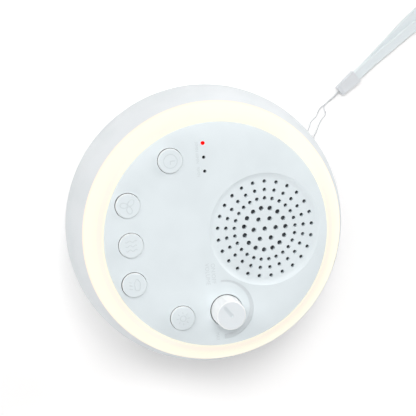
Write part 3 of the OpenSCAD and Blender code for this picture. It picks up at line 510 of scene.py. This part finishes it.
def tube(rings):
    """A grid of rings as points and faces, with a fan of triangles over each end.

    The rings run along the tube and each goes once round it, anticlockwise
    seen from the tube's far end. The fans meet in the end rings' middles.
    """
    rows, around = rings.shape[:2]
    points = np.concatenate([rings.reshape(-1, 3), [rings[0].mean(0), rings[-1].mean(0)]])
    k = np.arange(around)
    first, last = rows * around, rows * around + 1
    start = np.stack([np.full(around, first), (k + 1) % around, k], axis=-1)
    end = np.stack([np.full(around, last), (rows - 1) * around + k,
                    (rows - 1) * around + (k + 1) % around], axis=-1)
    return points, lapped(rows, around).tolist() + start.tolist() + end.tolist()


def hoop(rings):
    """A grid of rings that runs back into its first ring, as points and faces."""
    rows, around = rings.shape[:2]
    again = np.concatenate([rings, rings[:1]])
    return rings.reshape(-1, 3), (lapped(rows + 1, around) % (rows * around)).tolist()


def make_piece(name, shapes, body, slot, marks=None, finish=None, smooth=True):
    """Joins shapes of points and faces into one piece on a body.

    marks holds one UV pair for each point, shapes one after the other. The
    finish is the slot's own if none is named.
    """
    points, faces, base = [], [], 0
    for more_points, more_faces in shapes:
        points.append(more_points)
        faces += [[base + k for k in face] for face in more_faces]
        base += len(more_points)
    mesh = bpy.data.meshes.new(name)
    mesh.from_pydata(np.concatenate(points).tolist(), [], faces)
    mesh.polygons.foreach_set("use_smooth", np.full(len(faces), smooth))
    if marks is not None:
        corners = np.zeros(len(mesh.loops), np.int32)
        mesh.loops.foreach_get("vertex_index", corners)
        places = marks[corners].astype(np.float32).ravel()
        mesh.uv_layers.new(name="UVMap").data.foreach_set("uv", places)
    mesh.materials.append(finish_of(finish or slot))
    piece = bpy.data.objects.new(name, mesh)
    bpy.context.scene.collection.objects.link(piece)
    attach(piece, body)
    return piece


# ---------------------------------------------------------------- cords

# The thin cord's way from the connector through the eyelet and back, in millimetres
CORD_OUT = [
    (-40.2, 61.2, 1.28), (-39.1, 59.75, 1.28), (-38.5, 58.9, 1.2), (-37.45, 58.1, 0.75),
    (-36.45, 57, 0.4), (-35.2, 55.25, 0.3), (-34, 53.65, 0.3), (-33.1, 52.25, 0.3),
    (-31.8, 51.25, 0.3), (-30.25, 50.6, 0.3), (-29.15, 49.5, 0.3), (-28.3, 48.25, 0.3),
    (-26.75, 47.7, 0.3), (-25.6, 47.2, 0.45), (-24.9, 46.1, 2.1), (-24.3, 44.9, 4.8),
    (-23.6, 43.6, 7.4), (-22.6, 42.4, 8.7)]
CORD_THROUGH = [
    (-21.35, 41.59, 9), (-19.93, 40.39, 9), (-18.02, 40.47, 9), (-16.69, 41.83, 9),
    (-16.62, 43.7, 9)]
CORD_BACK = [
    (-17.1, 45, 8.7), (-18.3, 46.1, 7.2), (-20, 47.2, 4.3), (-21.5, 48.3, 1.6),
    (-22.7, 49.1, 0.4), (-24.9, 50.5, 0.3), (-26.8, 51.25, 0.3), (-28.35, 52.15, 0.3),
    (-29.4, 53.2, 0.3), (-30.3, 54.1, 0.3), (-31.5, 54.1, 0.35), (-32.7, 53.5, 0.7),
    (-34, 53.6, 0.86), (-35.2, 55.2, 0.86), (-36.45, 56.95, 0.98), (-37.45, 58, 1.35),
    (-38.5, 58.9, 1.76), (-39.1, 59.75, 1.82), (-40.2, 61.2, 1.82)]
# The strap's way, with its roll about its own line in degrees
STRAP_WAY = [
    (-43, 65.3, 0.95, 0), (-44.4, 67.3, 0.9, 0), (-48.4, 72.25, 0.55, 0),
    (-54.65, 79.35, 0.55, 0), (-60.4, 85.8, 0.55, 0), (-65.8, 92.4, 0.55, 0),
    (-70.3, 98.3, 1.75, 36), (-73, 106.9, 1.95, 90), (-71.1, 113.9, 1.95, 90),
    (-66, 119.1, 1.95, 90), (-59, 120.9, 1.95, 90), (-44, 121.2, 1.95, 90),
    (-28, 120.6, 1.95, 90), (-12, 121, 1.95, 90), (-2, 120.9, 1.95, 90),
    (3.8, 118.5, 1.95, 90), (6.2, 112.7, 1.95, 90), (3.8, 106.9, 1.95, 90),
    (-2, 104.5, 1.95, 90), (-12, 104.2, 1.95, 90), (-28, 104.8, 1.95, 90),
    (-42, 104.9, 1.95, 90), (-52.5, 104.6, 1.95, 90), (-57.7, 103.4, 1.9, 80),
    (-60.8, 100.9, 1.9, 50), (-62.6, 97.5, 1.85, 22), (-62.4, 93.6, 1.75, 0),
    (-60.7, 91.1, 1.6, 0), (-58, 87.1, 1.55, 0), (-53.4, 80.3, 1.55, 0),
    (-48.2, 72.6, 1.6, 0), (-44.4, 67.2, 2.05, 0), (-43, 65.3, 2.1, 0)]


def eased_way(way, step, reach):
    """A way's points, step apart in millimetres, with its corners eased.

    The points are laid evenly on the straight lines between the given ones,
    then each is replaced by the mean of its neighbours within a reach,
    weighted by a raised cosine. Past an end the way is carried on turned
    about that end, which so stays where it is.
    """
    way = np.array(way, float)
    along = np.concatenate([[0], np.cumsum(np.linalg.norm(np.diff(way[:, :3], axis=0), axis=1))])
    at = np.linspace(0, along[-1], int(along[-1] / step) + 1)
    line = np.stack([np.interp(at, along, column) for column in way.T], axis=1)
    n = int(reach / step)
    weights = np.hanning(2 * n + 3)[1:-1]
    weights /= weights.sum()
    before, after = 2 * line[0] - line[n:0:-1], 2 * line[-1] - line[-2:-n - 2:-1]
    longer = np.concatenate([before, line, after])
    return np.stack([np.convolve(column, weights, "valid") for column in longer.T], axis=1)


def axes_along(line, roll=None):
    """Two unit vectors across a line at each of its points: sideways, and up from there.

    Sideways is level and square to the line, then both turn by the roll.
    """
    ahead = np.gradient(line, axis=0)
    ahead /= np.linalg.norm(ahead, axis=1)[:, None]
    side = np.cross([0, 0, 1], ahead)
    side /= np.linalg.norm(side, axis=1)[:, None]
    up = np.cross(ahead, side)
    if roll is None:
        return side, up
    c, s = np.cos(roll)[:, None], np.sin(roll)[:, None]
    return c * side + s * up, c * up - s * side


def make_thin_cord():
    """Three plies wound round the cord's line.

    A ply's line stands off the cord's at an angle that turns once each
    pitch, and the ply is a round tube along it.
    """
    plies, off, radius, pitch = 3, 0.12, 0.13, 1.5
    line = eased_way(CORD_OUT + CORD_THROUGH + CORD_BACK, 0.12, 0.7)
    side, up = axes_along(line)
    gone = np.concatenate([[0], np.cumsum(np.linalg.norm(np.diff(line, axis=0), axis=1))])
    shapes, marks = [], []
    round_it = np.linspace(0, 2 * math.pi, 9)[:-1]
    for ply in range(plies):
        turn = gone * 2 * math.pi / pitch + ply * 2 * math.pi / plies
        ply_line = line + off * (np.cos(turn)[:, None] * side + np.sin(turn)[:, None] * up)
        a, b = axes_along(ply_line)
        rings = ply_line[:, None] + radius * (np.cos(round_it)[None, :, None] * a[:, None]
                                              + np.sin(round_it)[None, :, None] * b[:, None])
        shapes.append(tube(rings * MM))
        grid = np.stack(np.meshgrid(gone * MM, round_it / (2 * math.pi), indexing="ij"), axis=-1)
        marks.append(np.concatenate([grid.reshape(-1, 2), [[0, 0], [gone[-1] * MM, 0]]]))
    cord = make_piece("thin_cord", shapes, "case", "cord", np.concatenate(marks))
    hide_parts("lanyard_cord")


def make_strap():
    """Flat tape carried along its way.

    Its section is a rounded bar with a slightly thicker bead along each
    edge: half the thickness rises as a bell curve at the beads, and falls to
    nothing round the edge as a quarter ellipse.
    """
    thick, bead_thick, bead_at, bead_w = 0.34, 0.08, 1.45, 0.22
    way = eased_way(STRAP_WAY, 0.7, 5.0)
    line, roll = way[:, :3], np.radians(way[:, 3])
    across, through = axes_along(line, roll)
    gone = np.concatenate([[0], np.cumsum(np.linalg.norm(np.diff(line, axis=0), axis=1))])
    u = STRAP_HALF * np.sin(np.linspace(-math.pi / 2, math.pi / 2, 23))
    bead = np.exp(-((np.abs(u) - bead_at) / bead_w) ** 2)
    past = np.clip(np.abs(u) - STRAP_EDGE, 0, None) / (STRAP_HALF - STRAP_EDGE)
    half = (thick + bead_thick * bead) * np.sqrt(np.clip(1 - past ** 2, 0, 1))
    u_round = np.concatenate([u, u[-2:0:-1]])
    v_round = np.concatenate([half, -half[-2:0:-1]])
    rings = (line[:, None] + u_round[None, :, None] * across[:, None]
             + v_round[None, :, None] * through[:, None])[:, ::-1]
    grid = np.stack(np.meshgrid(u_round[::-1] * MM, gone * MM, indexing="xy"), axis=-1)
    marks = np.concatenate([grid.reshape(-1, 2), [[0, 0], [0, gone[-1] * MM]]])
    strap = make_piece("tape_strap", [tube(rings * MM)], "case", "webbing", marks)
    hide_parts("wrist_strap")


# ---------------------------------------------------------------- markings

def face_height(points):
    """Height of the face in millimetres: level, then less an arc's fall."""
    past = np.clip(np.linalg.norm(points[:, :2], axis=1) - ROLL_START, 0, None)
    return FACE_Z - ROLL_R + np.sqrt(ROLL_R ** 2 - past ** 2)


def letters(words, centre, width, height):
    """Letters of a thickness, stretched to a width and height and laid on the face."""
    thick, sunk = 0.03, 0.002
    curve = bpy.data.curves.new("words", "FONT")
    curve.body, curve.extrude, curve.resolution_u = words, 1.0, 3
    written = bpy.data.objects.new("words", curve)
    mesh = bpy.data.meshes.new_from_object(written)
    points = np.zeros(3 * len(mesh.vertices), np.float32)
    mesh.vertices.foreach_get("co", points)
    points = points.reshape(-1, 3).astype(float)
    low, high = points.min(0), points.max(0)
    points = (points - (low + high) / 2) / (high - low) * [width, height, thick] + [*centre, 0]
    points[:, 2] += face_height(points) + thick / 2 - sunk
    faces = [tuple(face.vertices) for face in mesh.polygons]
    bpy.data.objects.remove(written)
    return points * MM, faces


def raised_line(points, key_at, closed=False):
    """A line that stands out from a key: a flat oval carried along it.

    The points are millimetres from the key's middle, and the oval's axes are
    the level direction square to the line, and straight up.
    """
    half_width, half_height, lift = 0.16, 0.06, 0.01
    points = np.array(points, float) + [key_at]
    if closed:
        ahead = np.roll(points, -1, 0) - np.roll(points, 1, 0)
    else:
        ahead = np.gradient(points, axis=0)
    ahead /= np.linalg.norm(ahead, axis=1)[:, None]
    side = np.stack([-ahead[:, 1], ahead[:, 0], 0 * ahead[:, 0]], axis=1)
    line = np.concatenate([points, np.full((len(points), 1), KEY_Z + lift)], axis=1)
    turn = np.linspace(0, 2 * math.pi, 11)[:-1]
    rings = (line[:, None] + half_width * np.cos(turn)[None, :, None] * side[:, None]
             + half_height * np.sin(turn)[None, :, None] * np.array([0, 0, 1.0]))
    return hoop(rings * MM) if closed else tube(rings * MM)


def oval(centre, along, across, heading):
    """Points round an oval whose long axis points along a heading in degrees."""
    t = np.linspace(0, 2 * math.pi, 37)[:-1]
    a = math.radians(heading)
    x, y = along * np.cos(t), across * np.sin(t)
    return np.stack([centre[0] + x * math.cos(a) - y * math.sin(a),
                     centre[1] + x * math.sin(a) + y * math.cos(a)], axis=1)


def make_lens_caps():
    """A low dome over each timer lamp: rings whose height falls with the square of the radius."""
    rise, sunk = 0.05, 0.06
    turn = np.linspace(0, 2 * math.pi, 25)[:-1]
    rim = np.stack([np.cos(turn), np.sin(turn), 0 * turn], axis=1)
    steps = np.linspace(1, 0.15, 7)[:, None, None]
    looks = [(0.76, "lens_lit"), (0.62, "lens"), (0.62, "lens")]
    for number, (centre, (radius, slot)) in enumerate(zip(LENSES_AT, looks)):
        dome = rim * steps * radius + [*centre, 0]
        dome[:, :, 2] = face_height(dome[0]).mean() + rise * (1 - steps[:, 0] ** 2)
        foot = dome[:1] - [0, 0, sunk]
        make_piece("timer_cap_%d" % (number + 1), [tube(np.concatenate([foot, dome]) * MM)],
                   "case", slot)


def make_markings():
    """The lettering on the face and the raised icons on the five keys."""
    words = [("30MIN", (-32.0, -4.9), 3.5, 1.05), ("60MIN", (-27.9, -4.9), 3.5, 1.05),
             ("90MIN", (-23.1, -4.9), 3.5, 1.05), ("ON/OFF", (13.6, -2.4), 7.3, 1.45),
             ("VOLUME", (13.6, -4.5), 7.9, 1.45), ("MAX", (36.6, -2.5), 2.9, 1.2)]
    make_piece("face_lettering", [letters(*row) for row in words], "case", "face",
               finish="lettering", smooth=False)
    short = np.linspace(0, 1, 9)[:, None]
    clock = [raised_line(oval((0, 0), 2.4, 2.4, 0), TIMER_AT, True),
             raised_line(short * [0, 1.55], TIMER_AT),
             raised_line([0.1, 0] + short * [1.05, 0], TIMER_AT)]
    make_piece("timer_icon", clock, "timer_key", "keys", finish="icons")
    petals = [(a, 1.55 * np.array([math.cos(math.radians(a)), math.sin(math.radians(a))]))
              for a in (135, 15, 255)]
    fan = [raised_line(oval(centre, 1.3, 0.9, a), LEFT_AT, True) for a, centre in petals]
    make_piece("left_sound_icon", fan, "left_sound_key", "keys", finish="icons")
    run = np.linspace(-2.0, 2.0, 41)
    waves = [raised_line(np.stack([x + 0.3 * np.sin(run * 3.1), run], axis=1), MIDDLE_AT)
             for x in (-1.6, 0, 1.6)]
    make_piece("middle_sound_icon", waves, "middle_sound_key", "keys", finish="icons")
    t = np.linspace(0, 2 * math.pi, 61)[:-1]
    puffs = 0.22 * np.abs(np.sin(2.5 * t))
    cloud = np.stack([(1.9 + puffs) * np.cos(t), 0.95 + (0.9 + puffs) * np.sin(t)], axis=1)
    rain = [raised_line([x, -0.85] + short * [-0.35, -1.15], RIGHT_AT) for x in (-1.0, 0.2, 1.4)]
    make_piece("right_sound_icon", [raised_line(cloud, RIGHT_AT, True)] + rain,
               "right_sound_key", "keys", finish="icons")
    sun = [raised_line(oval((0, 0), 1.0, 1.0, 0), LIGHT_AT, True)]
    rays = [raised_line((1.6 + 0.8 * short) * [math.cos(a), math.sin(a)], LIGHT_AT)
            for a in np.arange(8) * math.pi / 4]
    make_piece("light_icon", sun + rays, "light_key", "keys", finish="icons")


# ---------------------------------------------------------------- light

# How much lighter the floor is shown, the sky's level straight across, how
# that changes towards +X, +Y and +Z, and the lamps as side and height in
# degrees and power in watts, with their distance and width in metres
FLOOR_GAIN = (1.172, 1.156, 1.148)
SKY_LEVEL, SKY_LEAN = 0.55, (0.2, -0.04, -0.54)
LAMPS = [(180, 62, 9.2), (225, 62, 4.3), (225, 35, 4.9), (110, 20, 8.9), (160, 20, 2.2),
         (300, 20, 1.9), (340, 20, 4.4)]
LAMP_AWAY, LAMP_W = 1.6, 0.7


def make_floor():
    """A wide white table top, shown lighter than it is, so that only its shadow is grey."""
    finish = Finish("table_top", Roughness=0.9, Specular_IOR_Level=0.1)
    finish.set(Base_Color=finish.mix(finish.noise(60, 2), tone("f2f4f5"), tone("f5f6f6")))
    seen = finish.node("LightPath")  # 1 where the camera looks at the floor itself
    shown = finish.node("BsdfDiffuse", {}, {"Color": [*FLOOR_GAIN, 1]})
    plain = Value(finish, finish.shader.outputs[0])
    both = finish.node("MixShader", {}, {0: seen, 1: plain, 2: shown})
    finish.tree.links.new(both.socket, finish.tree.nodes["Material Output"].inputs["Surface"])
    mesh = bpy.data.meshes.new("table")
    side = 4.0
    corners = [(-side, -side, 0), (side, -side, 0), (side, side, 0), (-side, side, 0)]
    mesh.from_pydata(corners, [], [(0, 1, 2, 3)])
    mesh.materials.append(finish.material)
    floor = bpy.data.objects.new("table", mesh)
    bpy.context.scene.collection.objects.link(floor)


def make_lamp(name, side, height, power):
    """A round soft box that faces the machine."""
    side, height = math.radians(side), math.radians(height)
    lamp = bpy.data.lights.new(name, "AREA")
    lamp.shape = "DISK"
    lamp.size, lamp.energy = LAMP_W, power
    stand = bpy.data.objects.new(name, lamp)
    bpy.context.scene.collection.objects.link(stand)
    level = math.cos(height)
    away = Vector((math.cos(side) * level, math.sin(side) * level, math.sin(height)))
    turn = away.to_track_quat("Z", "Y").to_matrix().to_4x4()
    stand.matrix_world = Matrix.Translation(LAMP_AWAY * away) @ turn


def make_light():
    """A sky that is brightest low down, as over a white table, and seven soft boxes."""
    world = bpy.data.worlds.new("studio")
    bpy.context.scene.world = world
    world.use_nodes = True
    nodes, links = world.node_tree.nodes, world.node_tree.links
    sky = nodes["Background"]
    sky.inputs["Color"].default_value = (0.985, 0.99, 1.0, 1)
    way = nodes.new("ShaderNodeTexCoord")
    lean = nodes.new("ShaderNodeVectorMath")
    lean.operation = "DOT_PRODUCT"
    lean.inputs[1].default_value = SKY_LEAN
    links.new(way.outputs["Generated"], lean.inputs[0])
    level = nodes.new("ShaderNodeMath")
    level.operation = "ADD"
    level.inputs[1].default_value = SKY_LEVEL
    links.new(lean.outputs["Value"], level.inputs[0])
    links.new(level.outputs[0], sky.inputs["Strength"])
    white = nodes.new("ShaderNodeBackground")
    white.inputs["Color"].default_value = (1, 1, 1, 1)
    rays = nodes.new("ShaderNodeLightPath")
    choose = nodes.new("ShaderNodeMixShader")
    links.new(rays.outputs["Is Camera Ray"], choose.inputs[0])
    links.new(sky.outputs[0], choose.inputs[1])
    links.new(white.outputs[0], choose.inputs[2])
    links.new(choose.outputs[0], nodes["World Output"].inputs["Surface"])
    for number, (side, height, power) in enumerate(LAMPS):
        make_lamp("lamp_%d" % number, side, height, power)


bpy.context.scene.view_settings.view_transform = "Standard"
make_camera()
make_thin_cord()
make_strap()
dress_frame()
make_lens_caps()
make_markings()
make_floor()
make_light()
